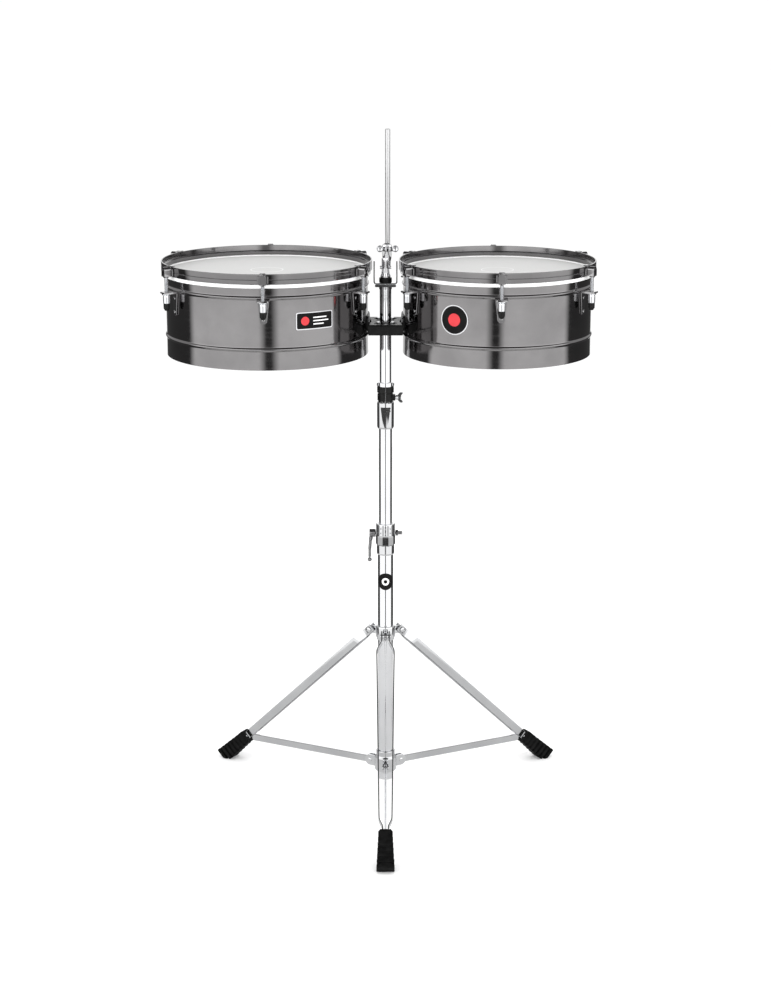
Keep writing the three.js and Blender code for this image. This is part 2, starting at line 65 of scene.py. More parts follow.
WING_Z = 808  # the height of the wing bolt

LAID_FLAT = Matrix(((1, 0, 0, 0), (0, 0, 1, 0), (0, 1, 0, 0), (0, 0, 0, 1)))  # swaps Y and Z
QUARTER_TURN = Matrix.Rotation(math.pi / 2, 4, "Z")


# ---- Shape helpers ------------------------------------------------------------------------
def fillet(points, radius, steps=4, closed=True):
    """Rounds the corners of a 2-D outline. A point may carry its own radius as a third number."""
    out, n = [], len(points)
    for i, p in enumerate(points):
        r = p[2] if len(p) > 2 else radius
        b = Vector(p[:2])
        if (not closed and i in (0, n - 1)) or r <= 0:
            out.append((b.x, b.y))
            continue
        a, c = Vector(points[i - 1][:2]), Vector(points[(i + 1) % n][:2])
        u, w = a - b, c - b
        if u.length < 1e-6 or w.length < 1e-6:
            continue
        half = u.angle(w) / 2
        if half > math.radians(86) or half < math.radians(2):
            out.append((b.x, b.y))
            continue
        cut = min(r / math.tan(half), u.length * 0.49, w.length * 0.49)
        s, e = b + u.normalized() * cut, b + w.normalized() * cut
        for k in range(steps + 1):
            t = k / steps
            q = s * (1 - t) ** 2 + b * 2 * t * (1 - t) + e * t**2
            out.append((q.x, q.y))
    return out


def rectangle(x0, x1, z0, z1):
    return [(x0, z0), (x1, z0), (x1, z1), (x0, z1)]


def lathe(outline, n=96, radius=0.6, steps=3):
    """A solid of revolution about Z from a closed outline of (r, z) points."""
    pts = fillet(outline, radius, steps)
    pts = [(max(r, 0.0), z) for r, z in pts]
    v, f, m = [], [], len(pts)
    for k in range(n):
        a = 2 * math.pi * k / n
        v += [Vector((r * math.cos(a), r * math.sin(a), z)) for r, z in pts]
    for k in range(n):
        for j in range(m):
            a, b = k * m + j, k * m + (j + 1) % m
            c, d = ((k + 1) % n) * m + (j + 1) % m, ((k + 1) % n) * m + j
            f.append((a, b, c, d))
    return v, f


def pole(outline, n=96, radius=0.6, steps=3):
    """The same, for an outline whose first and last points are on the axis."""
    pts = fillet([(*p[:2], 0) if p[0] == 0 else p for p in outline], radius, steps, closed=True)
    v, f, m = [], [], len(pts)
    for k in range(n):
        a = 2 * math.pi * k / n
        v += [Vector((r * math.cos(a), r * math.sin(a), z)) for r, z in pts]
    for k in range(n):
        for j in range(m - 1):
            f.append((k * m + j, k * m + j + 1, ((k + 1) % n) * m + j + 1, ((k + 1) % n) * m + j))
    return v, f


def tube(inner, outer, low, high, edge=0.4, n=96):
    """A plain tube about Z."""
    return lathe(rectangle(inner, outer, low, high), n, edge)


def turn_to(part, start, direction):
    """A part made along +Z, moved to start and pointed along direction."""
    q = Vector((0, 0, 1)).rotation_difference(Vector(direction))
    return moved(part, Matrix.Translation(Vector(start)) @ q.to_matrix().to_4x4())


def moved(part, m):
    return [m @ p for p in part[0]], part[1]


def spin(part, degrees):
    return moved(part, Matrix.Rotation(math.radians(degrees), 4, "Z"))


def shift(part, x=0, y=0, z=0):
    return moved(part, Matrix.Translation((x, y, z)))


def rod(a, b, r, n=32, edge=0.5):
    d = Vector(b) - Vector(a)
    return turn_to(pole(rectangle(0, r, 0, d.length), n, edge), a, d)


def hexagon(a, b, r, edge=0.5):
    return rod(a, b, r, 6, edge)


def slab(outline, y0, y1, edge=0.5, steps=2):
    """An outline in X and Z, extruded along Y, with its edges rounded."""
    bm = bmesh.new()
    face = bm.faces.new([bm.verts.new((x, y0, z)) for x, z in outline])
    made = bmesh.ops.extrude_face_region(bm, geom=[face])
    top = [g for g in made["geom"] if isinstance(g, bmesh.types.BMVert)]
    bmesh.ops.translate(bm, verts=top, vec=(0, y1 - y0, 0))
    bmesh.ops.recalc_face_normals(bm, faces=bm.faces)
    if edge > 0:
        sharp = [e for e in bm.edges if len(e.link_faces) == 2 and e.calc_face_angle() > 0.6]
        bmesh.ops.bevel(bm, geom=sharp, offset=edge, segments=steps, affect="EDGES", clamp_overlap=True)
    return taken(bm)


def block(x0, x1, y0, y1, z0, z1, edge=0.8):
    return slab(rectangle(x0, x1, z0, z1), y0, y1, edge, 3)


def taken(bm):
    """The part held in a bmesh, which is freed."""
    bm.verts.index_update()
    part = [v.co.copy() for v in bm.verts], [tuple(v.index for v in f.verts) for f in bm.faces]
    bm.free()
    return part


def merged(*parts):
    """Several parts as one, with nothing joined up between them."""
    v, f = [], []
    for pv, pf in parts:
        f += [tuple(i + len(v) for i in face) for face in pf]
        v += list(pv)
    return v, f


def arc(cx, cy, r, a0, a1, n=8):
    """Points of an arc from angle a0 to angle a1, in degrees."""
    return [
        (cx + r * math.cos(math.radians(a0 + (a1 - a0) * i / n)),
         cy + r * math.sin(math.radians(a0 + (a1 - a0) * i / n)))
        for i in range(n + 1)
    ]


def to_mesh(name, part):
    mesh = bpy.data.meshes.new(name)
    mesh.from_pydata([tuple(p) for p in part[0]], [], part[1])
    bm = bmesh.new()
    bm.from_mesh(mesh)
    bmesh.ops.remove_doubles(bm, verts=bm.verts, dist=1e-3)
    bmesh.ops.dissolve_degenerate(bm, dist=1e-4, edges=bm.edges)
    bmesh.ops.recalc_face_normals(bm, faces=bm.faces)
    bm.to_mesh(mesh)
    bm.free()
    return mesh


def cut(part, *tools):
    """The part with each tool's volume taken away."""
    target = bpy.data.objects.new("cut_target", to_mesh("cut_target", part))
    bpy.context.collection.objects.link(target)
    for tool in tools:
        knife = bpy.data.objects.new("cut_knife", to_mesh("cut_knife", tool))
        bpy.context.collection.objects.link(knife)
        mod = target.modifiers.new("cut", "BOOLEAN")
        mod.operation, mod.solver, mod.object = "DIFFERENCE", "EXACT", knife
        done = target.evaluated_get(bpy.context.evaluated_depsgraph_get())
        mesh = bpy.data.meshes.new_from_object(done)
        target.modifiers.clear()
        target.data = mesh
        bpy.data.objects.remove(knife)
    out = [v.co.copy() for v in target.data.vertices], [tuple(p.vertices) for p in target.data.polygons]
    bpy.data.objects.remove(target)
    return out


def piece(name, part, body, material, replaces=(), smooth=32):
    """Adds a part to the scene: it rides on its body and replaces the CAD nodes named."""
    mesh = to_mesh(name, part)
    mesh.transform(Matrix.Translation(COLUMN) @ Matrix.Scale(MM, 4))
    mesh.polygons.foreach_set("use_smooth", [True] * len(mesh.polygons))
    mesh.set_sharp_from_angle(angle=math.radians(smooth))
    mesh.materials.append(material)
    obj = bpy.data.objects.new(name, mesh)
    bpy.context.collection.objects.link(obj)
    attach(obj, body)
    if replaces:
        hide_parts(*replaces)
    return obj


# ---- Materials ----------------------------------------------------------------------------
def new_material(name, slot, metallic=0.0, coat=0.0):
    m = bpy.data.materials.new(name)
    m.use_nodes = True
    m["slot"] = slot
    shader = m.node_tree.nodes["Principled BSDF"]
    shader.inputs["Metallic"].default_value = metallic
    shader.inputs["Coat Weight"].default_value = coat
    return m, m.node_tree, shader


def noise(tree, scale, detail=4.0, stretch=(1, 1, 1)):
    coord = tree.nodes.new("ShaderNodeTexCoord")
    mapping = tree.nodes.new("ShaderNodeMapping")
    mapping.inputs["Scale"].default_value = stretch
    tex = tree.nodes.new("ShaderNodeTexNoise")
    tex.inputs["Scale"].default_value = scale
    tex.inputs["Detail"].default_value = detail
    tree.links.new(coord.outputs["Object"], mapping.inputs["Vector"])
    tree.links.new(mapping.outputs["Vector"], tex.inputs["Vector"])
    return tex.outputs["Fac"]


def ramp(tree, factor, low, high, at=(0.35, 0.7)):
    node = tree.nodes.new("ShaderNodeValToRGB")
    for element, position, value in zip(node.color_ramp.elements, at, (low, high)):
        element.position = position
        element.color = value if len(value) == 4 else (*value, 1)
    tree.links.new(factor, node.inputs["Fac"])
    return node.outputs["Color"]


def grey(v):
    return (v, v, v)


def bump(tree, shader, factor, strength, distance=0.0005):
    node = tree.nodes.new("ShaderNodeBump")
    node.inputs["Strength"].default_value = strength
    node.inputs["Distance"].default_value = distance
    tree.links.new(factor, node.inputs["Height"])
    tree.links.new(node.outputs["Normal"], shader.inputs["Normal"])


def metal(name, slot, low, high, rough, smudge, bump_by=0.02, stretch=(1, 1, 1)):
    m, tree, shader = new_material(name, slot, metallic=1.0)
    tree.links.new(ramp(tree, noise(tree, 14), low, high), shader.inputs["Base Color"])
    tree.links.new(
        ramp(tree, noise(tree, 35, 6, stretch), grey(rough), grey(rough + smudge)),
        shader.inputs["Roughness"],
    )
    bump(tree, shader, noise(tree, 260, 3, stretch), bump_by, 0.0001)
    return m


chrome = metal("chrome", "bright_chrome", (0.78, 0.785, 0.8), (0.86, 0.865, 0.88), 0.05, 0.07)
leg_chrome = metal("leg_chrome", "bright_chrome", (0.56, 0.565, 0.575), (0.64, 0.645, 0.655), 0.07, 0.08)
cast = metal("cast_chrome", "bright_chrome", (0.6, 0.605, 0.615), (0.72, 0.725, 0.735), 0.04, 0.06, 0.03)
hook_chrome = metal("hook_chrome", "hook_chrome", (0.72, 0.73, 0.75), (0.84, 0.85, 0.87), 0.06, 0.08)
nickel = metal(
    "black_nickel", "black_chrome", (0.225, 0.219, 0.221), (0.275, 0.268, 0.27), 0.07, 0.06, 0.015, (1, 1, 6)
)
hoop_nickel = metal("hoop_nickel", "black_chrome", (0.18, 0.176, 0.178), (0.235, 0.23, 0.232), 0.06, 0.06)
claw_nickel = metal("claw_nickel", "hook_chrome", (0.32, 0.316, 0.32), (0.4, 0.395, 0.4), 0.05, 0.06)
# Chrome for the lower clamp's bolt and lever with its base colour painted dark: painted shade standing in for
# the dark surroundings that bright chrome reflects.
chrome_painted_dark = metal("chrome_painted_dark", "bright_chrome", (0.2, 0.2, 0.205), (0.3, 0.3, 0.305), 0.16, 0.12, 0.05)
mid_steel = metal("mid_steel", "bright_chrome", (0.3, 0.302, 0.306), (0.4, 0.402, 0.406), 0.08, 0.08, 0.03)
satin = metal(
    "satin_steel", "bright_chrome", (0.6, 0.6, 0.605), (0.68, 0.68, 0.685), 0.3, 0.08, 0.03, (1, 1, 0.2)
)


def plain(name, slot, low, high, rough, spread, scale, bump_by, coat=0.0, gloss=0.5):
    m, tree, shader = new_material(name, slot, coat=coat)
    shader.inputs["Specular IOR Level"].default_value = gloss
    tree.links.new(ramp(tree, noise(tree, scale / 3), low, high), shader.inputs["Base Color"])
    tree.links.new(
        ramp(tree, noise(tree, scale, 6), grey(rough), grey(rough + spread)),
        shader.inputs["Roughness"],
    )
    bump(tree, shader, noise(tree, scale * 4, 5), bump_by, 0.0004)
    return m


rubber = plain("rubber", "black_rubber", grey(0.002), grey(0.006), 0.45, 0.2, 300, 0.35, 0.0, 0.1)
paint = plain("black_paint", "black_paint", grey(0.003), grey(0.007), 0.3, 0.12, 240, 0.05, 0.0, 0.2)
cap_plastic = plain("cap_plastic", "hook_chrome", grey(0.003), grey(0.007), 0.3, 0.1, 200, 0.05, 0.0, 0.2)
nylon = plain("nylon", "bush_plastic", grey(0.012), grey(0.03), 0.45, 0.15, 300, 0.1)
badge_black = plain("badge_black", "badge_black", grey(0.003), grey(0.007), 0.4, 0.12, 160, 0.03, 0.0, 0.1)
# The flesh hoop is a bright metal ring drawn in near-white glossy paint: painted highlight in place of its
# reflections.
flesh_hoop_painted_highlight = plain("flesh_hoop_painted_highlight", "hook_chrome", grey(0.84), grey(0.9), 0.2, 0.08, 160, 0.02, 0.5)
badge_white = plain("badge_white", "badge_black", grey(0.74), grey(0.82), 0.4, 0.1, 160, 0.02)
badge_red = plain("badge_red", "badge_black", (0.5, 0.012, 0.02), (0.62, 0.02, 0.03), 0.4, 0.1, 160, 0.02)
badge_rim = metal("badge_rim", "badge_black", (0.62, 0.62, 0.64), (0.8, 0.8, 0.82), 0.14, 0.12)
film = plain("head_film", "head_film", (0.52, 0.52, 0.515), (0.535, 0.535, 0.53), 0.55, 0.12, 900, 0.12)
film_mark = plain("head_mark", "head_film", grey(0.7), grey(0.74), 0.5, 0.12, 300, 0.05)


# ---- Tripod -------------------------------------------------------------------------------
def in_leg(part, azimuth):
    """From the leg's own frame, in which it runs down -Z from its pivot, to the column's."""
    tilt = Matrix.Rotation(-LEG_ANGLE, 4, "Y")
    place = Matrix.Translation((PIVOT_R, 0, LEG_Z))
    return moved(part, Matrix.Rotation(math.radians(azimuth), 4, "Z") @ place @ tilt)


def strap(side):
    """A flat steel strap that flares out below its pivot and closes again above the foot."""
    path = [(7.3, -8, 0), (7.3, 13, 9), (17, 33, 22), (12, 386, 16), (5.2, 401, 12), (5.2, 468, 0)]
    line = fillet(path, 0, 7, closed=False)
    line = [line[0]] + [p for a, p in zip(line, line[1:]) if (Vector(a) - Vector(p)).length > 0.05]
    half_w, half_t = 7.5, 1.25
    v, f = [], []
    ring = fillet(rectangle(-half_w, half_w, -half_t, half_t), 0.8, 3)
    for i, (y, s) in enumerate(line):
        a, b = line[max(i - 1, 0)], line[min(i + 1, len(line) - 1)]
        along = Vector((b[0] - a[0], b[1] - a[1])).normalized()
        for x, t in ring:
            v.append(Vector((x, side * (y + t * along.y), -(s - t * along.x))))
    m = len(ring)
    for i in range(len(line) - 1):
        for j in range(m):
            f.append((i * m + j, i * m + (j + 1) % m, (i + 1) * m + (j + 1) % m, (i + 1) * m + j))
    f += [tuple(range(m)), tuple(range((len(line) - 1) * m, len(line) * m))]
    top = slab(fillet(rectangle(-half_w, half_w, -9, half_w), 7.3, 8), 6.05, 8.55, 0.6)
    if side < 0:
        top = moved(top, Matrix.Scale(-1, 4, (0, 1, 0)))
    return merged((v, f), top)


def boot():
    """A ribbed rubber boot along the leg's axis, cut flat where it stands on the floor."""
    ribs, start, pitch, thick = 7, 412, 11.2, 7.4
    parts = []
    for i in range(ribs):
        t = i / (ribs - 1)
        s0 = start + i * pitch
        half_y = 13.6 + 3.1 * t
        x0, x1 = -13.2 - 1.8 * t, 13.4 + 3.4 * t
        rib = fillet(rectangle(x0, x1, -s0 - thick, -s0), 1.6, 3)
        parts.append(slab(rib, -half_y, half_y, 1.3, 3))
    core = fillet([(-12, -478), (14, -488), (14, -408), (-11, -408)], 5, 4)
    parts.append(slab(core, -12.6, 12.6, 2.2, 3))
    return parts


def flat_sole(part):
    """The part with everything below the floor cut away and the cut closed."""
    bm = bmesh.new()
    mesh = to_mesh("sole", part)
    bm.from_mesh(mesh)
    geom = bm.verts[:] + bm.edges[:] + bm.faces[:]
    done = bmesh.ops.bisect_plane(bm, geom=geom, plane_co=(0, 0, 0), plane_no=(0, 0, 1), clear_inner=True)
    edges = [g for g in done["geom_cut"] if isinstance(g, bmesh.types.BMEdge)]
    if edges:
        bmesh.ops.holes_fill(bm, edges=edges, sides=0)
    return taken(bm)


def stay_part():
    """A flat bar from the hub's pivot to the stud on the leg."""
    reach = PIVOT_R + STAY_S * math.sin(LEG_ANGLE)
    drop = LEG_Z - STAY_S * math.cos(LEG_ANGLE)
    length = math.hypot(reach - PIVOT_R, HUB_Z - drop)
    slope = math.atan2(HUB_Z - drop, reach - PIVOT_R)
    flat = slab(arc(0, 0, 7, 90, 270, 14) + arc(length, 0, 7, -90, 90, 14), -2, 2, 0.7, 3)
    return moved(flat, Matrix.Translation((PIVOT_R, 0, HUB_Z)) @ Matrix.Rotation(slope, 4, "Y"))


def rivet(x, y, z, side, r=5.0, height=1.7):
    """A domed rivet head that faces side along Y."""
    dome = pole([(0, 0), (r, 0), (r * 0.92, height * 0.6), (r * 0.5, height, 1.5), (0, height)], 28, 0.3)
    return turn_to(dome, (x, y, z), (0, side, 0))


def build_tripod():
    piece("lower_tube_skin", tube(13.5, 15, 30, 553, 0.5), "base", chrome, ["lower_tube"])
    sleeve = [(15.15, 322), (17.2, 322), (18.4, 329), (18.4, 347.5), (17.4, 350.3), (15.15, 350.3)]
    parts = [lathe(sleeve, 96, 1.0)]
    for a in AZIMUTHS.values():
        ear = [(16.5, LEG_Z - 8)] + arc(PIVOT_R, LEG_Z, 8, -90, 90, 14) + [(16.5, LEG_Z + 8)]
        pin = rod((PIVOT_R, -9.4, LEG_Z), (PIVOT_R, 9.4, LEG_Z), 2.9, 24, 0.2)
        hub = rod((PIVOT_R, -5.7, LEG_Z), (PIVOT_R, 5.7, LEG_Z), 5, 28, 0.4)
        heads = [rivet(PIVOT_R, s * 8.9, LEG_Z, s) for s in (-1, 1)]
        parts += [spin(p, a) for p in (slab(ear, -2.5, 2.5, 0.8, 3), pin, hub, *heads)]
    piece("leg_collar_body", merged(*parts), "base", cast, ["leg_collar"])
    sleeve = [
        (15.35, 47), (19.4, 47), (21.5, 50), (21.5, 75), (19.5, 77.4),
        (18.4, 79), (18.4, 88.6), (17.4, 90), (15.35, 90),
    ]
    parts = [lathe(sleeve, 96, 0.9)]
    for a in AZIMUTHS.values():
        ear = [(19, HUB_Z - 11)] + arc(PIVOT_R, HUB_Z, 11, -90, 90, 16) + [(19, HUB_Z + 11)]
        cheeks = [slab(ear, y, y + 2.4, 0.5, 2) for y in (3.2, -5.6)]
        web = block(17, 21.8, -5.4, 5.4, HUB_Z - 10.6, HUB_Z + 10.6, 0.4)
        pin = rod((PIVOT_R, -6.4, HUB_Z), (PIVOT_R, 6.4, HUB_Z), 2.9, 24, 0.2)
        heads = [rivet(PIVOT_R, s * 5.5, HUB_Z, s, 4.6, 1.4) for s in (-1, 1)]
        parts += [spin(p, a) for p in (*cheeks, web, pin, *heads)]
    screw = rod((0, 20.8, 84), (0, 24.2, 84), 3.2, 20, 0.5)
    piece("leg_hub_body", merged(*parts, screw), "hub", cast, ["leg_hub"])
    for name, a in AZIMUTHS.items():
        body = name + "_leg"
        for letter, side in (("a", 1), ("b", -1)):
            part = merged(strap(side), rivet(0, side * 6.2, -STAY_S, side, 4.4, 1.6))
            piece(f"{name}_strap_{letter}", in_leg(part, a), body, leg_chrome, [f"{name}_leg_strap_{letter}"])
        foot = flat_sole(merged(*[in_leg(p, a) for p in boot()]))
        piece(f"{name}_boot", foot, body, rubber, [f"{name}_foot"])
        piece(f"{name}_stay_bar", spin(stay_part(), a), name + "_brace", leg_chrome, [f"{name}_stay"])


# ---- Column -------------------------------------------------------------------------------
def dense(points, step=1.6):
    """The same outline with no stretch longer than step, so that it can follow a cylinder."""
    made = []
    for a, b in zip(points, points[1:] + points[:1]):
        n = max(1, math.ceil(math.hypot(b[0] - a[0], b[1] - a[1]) / step))
        made += [(a[0] + (b[0] - a[0]) * k / n, a[1] + (b[1] - a[1]) * k / n) for k in range(n)]
    return made


def wrap(points, radius, thick, angle):
    """A thin plate wrapped on a cylinder, from an outline of (arc length, z) round a centre."""
    points = dense(points)
    v, f, n, rings = [], [], len(points), 16
    cx = sum(p[0] for p in points) / n
    cz = sum(p[1] for p in points) / n
    for r in (radius, radius + thick):
        v.append(Vector((r, 0, cz)))
        for k in range(1, rings + 1):
            for x, z in points:
                s, h = cx + (x - cx) * k / rings, cz + (z - cz) * k / rings
                v.append(Vector((r * math.cos(s / radius), r * math.sin(s / radius), h)))
    size = 1 + rings * n
    for layer in (0, 1):
        o = layer * size
        for j in range(n):
            f.append((o, o + 1 + j, o + 1 + (j + 1) % n))
            for k in range(rings - 1):
                a, b = o + 1 + k * n + j, o + 1 + k * n + (j + 1) % n
                f.append((a, b, b + n, a + n))
    for j in range(n):
        a, b = 1 + (rings - 1) * n + j, 1 + (rings - 1) * n + (j + 1) % n
        f.append((a, b, b + size, a + size))
    return spin((v, f), angle)


def oval(cx, cz, rx, rz, n=64):
    turns = [2 * math.pi * k / n for k in range(n)]
    return [(cx + rx * math.cos(t), cz + rz * math.sin(t)) for t in turns]


def build_lower_clamp():
    """The sticker on the lower tube, the clamp at its top, the clamp's bolt and lever, and the bush."""
    piece("tube_sticker", wrap(oval(0, 443.7, 17, 17), 15.1, 0.3, -90), "base", badge_black, ["tube_badge"])
    piece("tube_sticker_mark", wrap(oval(0, 443.7, 7.5, 7.5), 15.4, 0.12, -90), "base", badge_white)
    piece("tube_sticker_hub", wrap(oval(0, 443.7, 3.6, 3.6), 15.52, 0.1, -90), "base", badge_black)
    skirt = [(15.2, 496.6), (15.9, 496.6), (17, 499.5), (17, 516), (15.2, 516)]
    crown = [
        (15.2, 534.5), (18, 534.5), (18.2, 538), (18.2, 556),
        (17.6, 558.6), (13.2, 558.6), (13.2, 553.4), (15.2, 553.4),
    ]
    facets = pole([(0, 514.6), (16.6, 514.6), (18.8, 517.4), (18.8, 533), (17.6, 536), (0, 536)], 10, 0.7)
    rib = block(17.2, 19, -1.5, 1.5, 536.5, 557.4, 0.6)
    ribs = [spin(rib, 30 * k + 15) for k in range(12) if k not in (2, 3)]
    pits = [spin(rod((14.6, 0, z), (24, 0, z), 1.7, 20, 0), 30 * k) for k in range(7, 12) for z in (542, 551)]
    cheeks = slab(fillet(rectangle(-19, 19, 524, 542), 3, 4), 10, 27, 1.2, 3)
    slit = block(-1, 1, 10, 32, 490, 562, 0)
    bore = rod((0, 0, 480), (0, 0, 553.4), 15.2, 72, 0)
    hole = rod((-40, CAM_Y, CAM_Z), (40, CAM_Y, CAM_Z), 3.3, 24, 0)
    piece("lower_clamp_casting", cut(lathe(crown, 96, 0.7), slit, *pits), "base", cast, ["lower_clamp"])
    piece("lower_clamp_skirt", cut(lathe(skirt, 96, 0.7), slit), "base", cast)
    piece("lower_clamp_facets", cut(facets, bore, slit), "base", mid_steel, smooth=20)
    piece("lower_clamp_ribs", merged(*ribs), "base", mid_steel)
    piece("lower_clamp_cheeks", cut(cheeks, bore, slit, hole), "base", cast)
    # The bolt and the cam lever below are bright chrome drawn in chrome painted dark: painted shade in place
    # of dark reflections.
    bolt = merged(
        rod((-24.6, CAM_Y, CAM_Z), (24, CAM_Y, CAM_Z), 2.8),
        hexagon((19.6, CAM_Y, CAM_Z), (25, CAM_Y, CAM_Z), 6),
        rod((25, CAM_Y, CAM_Z), (33, CAM_Y, CAM_Z), 3.4, 24, 0.8),
    )
    piece("lower_clamp_bolt_body", bolt, "base", chrome_painted_dark, ["lower_clamp_bolt"])
    arm = [(-27, CAM_Y, 531), (-29.5, CAM_Y, 518), (-31, CAM_Y, 500), (-31, CAM_Y, 484)]
    arm_parts = [rod(a, b, r, 20, 0.9) for a, b, r in zip(arm, arm[1:], (3.6, 3.0, 2.5))]
    ball_r = 4.2
    turns = [k * math.pi / 12 for k in range(1, 12)]
    ball = [(ball_r * math.sin(t), -ball_r * math.cos(t)) for t in turns]
    tip = shift(pole([(0, -ball_r), *ball, (0, ball_r)], 28, 0), -31, CAM_Y, 479)
    cam = rod((-31.5, CAM_Y, CAM_Z), (-19.5, CAM_Y, CAM_Z), 8, 40, 1.4)
    cam = cut(cam, rod((-25, CAM_Y, CAM_Z), (-10, CAM_Y, CAM_Z), 3.3, 24, 0))
    piece("cam_lever", merged(cam, *arm_parts, tip), "clamp_lever", chrome_painted_dark, ["lower_clamp_lever"])
    piece("lower_bush_skin", tube(12.78, 13.4, 515, 552, 0.1, 72), "base", nylon, ["lower_bush"])


def build_upper_clamp():
    """The middle tube, the clamp, collar and wing bolt at its top, the memory ring and the upper tube."""
    piece("middle_tube_skin", tube(11.35, 12.7, 352, 797), "middle_column", chrome, ["middle_tube"])
    sleeve = [
        (12.9, 748), (14.6, 748), (16.2, 751.5), (16.4, 784), (16.4, 798.6),
        (15.2, 801), (11.6, 801), (11.6, 797.4), (12.9, 797.4),
    ]
    lean = Matrix.Translation((0, -13.5, 791)) @ Matrix.Rotation(math.radians(-3.6), 4, "X")
    flute = moved(block(-20, 20, -14, 0, 0, 60, 0), lean @ Matrix.Translation((0, 0, -60)))
    pockets = [block(0.8, 11, -20, -13.1, z, z + 2.2, 0) for z in (782.4, 787.6)]
    seam = tube(16.2, 17, 792.6, 793.4, 0)
    casting = cut(lathe(sleeve, 96, 0.7), flute, *pockets, seam)
    piece("upper_clamp_casting", casting, "middle_column", cast, ["upper_clamp"], smooth=14)
    collar = [
        (11.6, 801.3), (14.2, 801.3), (14.2, 816.6), (13.7, 817.4), (16, 818.4), (16, 829.7), (11.6, 829.7)
    ]
    ear = slab(fillet(rectangle(11.8, 19, 802.6, 814), 2, 3), -6, 6, 0.8)
    ribs = [spin(block(13.6, 15.4, -1.1, 1.1, 802.4, 815.6, 0.3), a) for a in (100, 140, 180, 220, 260)]
    slit = block(-0.8, 0.8, -20, -5, 800, 831, 0)
    hole = rod((11, 0, WING_Z), (25, 0, WING_Z), 3, 20, 0)
    collar_part = cut(lathe(collar, 96, 0.7), slit)
    piece("upper_collar_ring", collar_part, "middle_column", paint, ["upper_clamp_collar"])
    piece("upper_collar_ear", cut(ear, hole), "middle_column", paint)
    piece("upper_collar_ribs", merged(*ribs), "middle_column", paint)
    upper_wing = [
        (22.6, WING_Z), (23.4, 813), (27, 817.6), (32.4, 818.6), (33.2, 815.6), (30.2, 812.4), (29.6, WING_Z)
    ]
    lower_wing = [(u, 2 * WING_Z - w) for u, w in upper_wing[::-1]]
    wings = slab(fillet(upper_wing + lower_wing[1:-1], 1.8, 4), -2.1, 2.1, 1.0, 3)
    dimple = slab(fillet(rectangle(22.4, 28, WING_Z - 1, WING_Z + 1), 0.9, 3), -6, -1.2, 0)
    shank = rod((13.2, 0, WING_Z), (21, 0, WING_Z), 2.7)
    boss = rod((19.6, 0, WING_Z), (24.4, 0, WING_Z), 4.6, 28, 1.2)
    piece("wing_bolt_body", merged(shank, boss, cut(wings, dimple)), "wing_bolt", chrome, ["upper_wing_bolt"])
    ring = tube(11.45, 14.6, 830, 838, 0.8)
    ears = [block(*x, -4.5, 4.5, 831, 837, 0.8) for x in ((-16.6, -12.5), (12.5, 16.6))]
    piece("memory_ring_body", merged(ring, *ears), "ring", chrome, ["memory_ring"])
    piece("upper_tube_skin", tube(9.6, 11.1, 640, 1021.5), "upper_column", chrome, ["upper_tube"])


def build_carrier():
    """The cross bracket between the shells and its clamp block, the top plate, strip and collar."""
    outer = block(-42, 42, -48, 48, 936, 956, 2.2)
    hollow = block(-60, 60, -45, 45, 930, 953, 0)
    slots = []
    for y in (-26, 26):
        slot = fillet(rectangle(-21.5, 21.5, y - 5.5, y + 5.5), 5.2, 6)
        slots.append(moved(slab(slot, 930, 960, 0), LAID_FLAT))
    shells = [shift(rod((0, 0, 900), (0, 0, 1000), d["r"] + 6.4, 200, 0), d["x"]) for d in (LOW, HIGH)]
    bore = rod((0, 0, 930), (0, 0, 960), 11.5, 64, 0)
    channel = cut(outer, hollow, *slots, *shells, bore)
    piece("cross_bracket_channel", channel, "upper_column", paint, ["cross_bracket"])
    bolts = []
    for x in (-12, 12):
        for y in (-26, 26):
            bolts.append(hexagon((x, y, 953.6), (x, y, 958.6), 5.4, 0.6))
            bolts.append(rod((x, y, 953), (x, y, 954.6), 7.4, 28, 0.3))
    piece("cross_bracket_bolts", merged(*bolts), "upper_column", chrome)
    base = block(-23, 23, -19, 19, 932, 952.7, 1.4)
    column_hole = rod((0, 0, 920), (0, 0, 960), 11.4, 64, 0)
    stud_holes = [rod((s * 16, 0, TILT_Z), (s * 30, 0, TILT_Z), 4.9, 32, 0) for s in (-1, 1)]
    clamp = cut(base, column_hole, *stud_holes)
    piece("bracket_clamp_block", clamp, "upper_column", paint, ["bracket_clamp"])
    nut = hexagon((0, -18.5, 943), (0, -23.5, 943), 5, 0.6)
    screw = rod((0, -23, 943), (0, -27, 943), 3.4, 24, 0.6)
    piece("bracket_clamp_screw", merged(nut, screw), "upper_column", chrome)
    skirt = tube(11.3, 12.2, 1017, 1022.6, 0.4, 72)
    plate = cut(block(-20, 20, -15, 15, 1022.4, 1026.4, 1.0), rod((0, 0, 1015), (0, 0, 1030), 4.2, 24, 0))
    screws = [rod((x, 0, 1026.2), (x, 0, 1026.6), 2.6, 20, 0.1) for x in (-15, 15)]
    piece("top_plate_body", merged(skirt, plate, *screws), "upper_column", cast, ["top_plate"])
    half, bottom, top, thick, bend = 22.6, 1026.7, 1071, 2.4, 5
    left, right, z = -half + bend, half - bend, bottom + bend
    strip = arc(left, z, bend, 180, 270, 8) + arc(right, z, bend, 270, 360, 8)
    strip += [(half, top), (half - thick, top)]
    strip += arc(right, z, bend - thick, 360, 270, 8) + arc(left, z, bend - thick, 270, 180, 8)
    strip += [(-half + thick, top), (-half, top)]
    strip_part = cut(slab(strip, -7.5, 7.5, 0.6, 3), rod((0, 0, 1020), (0, 0, 1035), 4.2, 24, 0))
    piece("spacer_strip_body", strip_part, "upper_column", chrome, ["spacer_strip"])
    piece("top_collar_ring", tube(4.2, 12, 1029.4, 1038.8, 1.4, 72), "upper_column", paint, ["top_collar"])


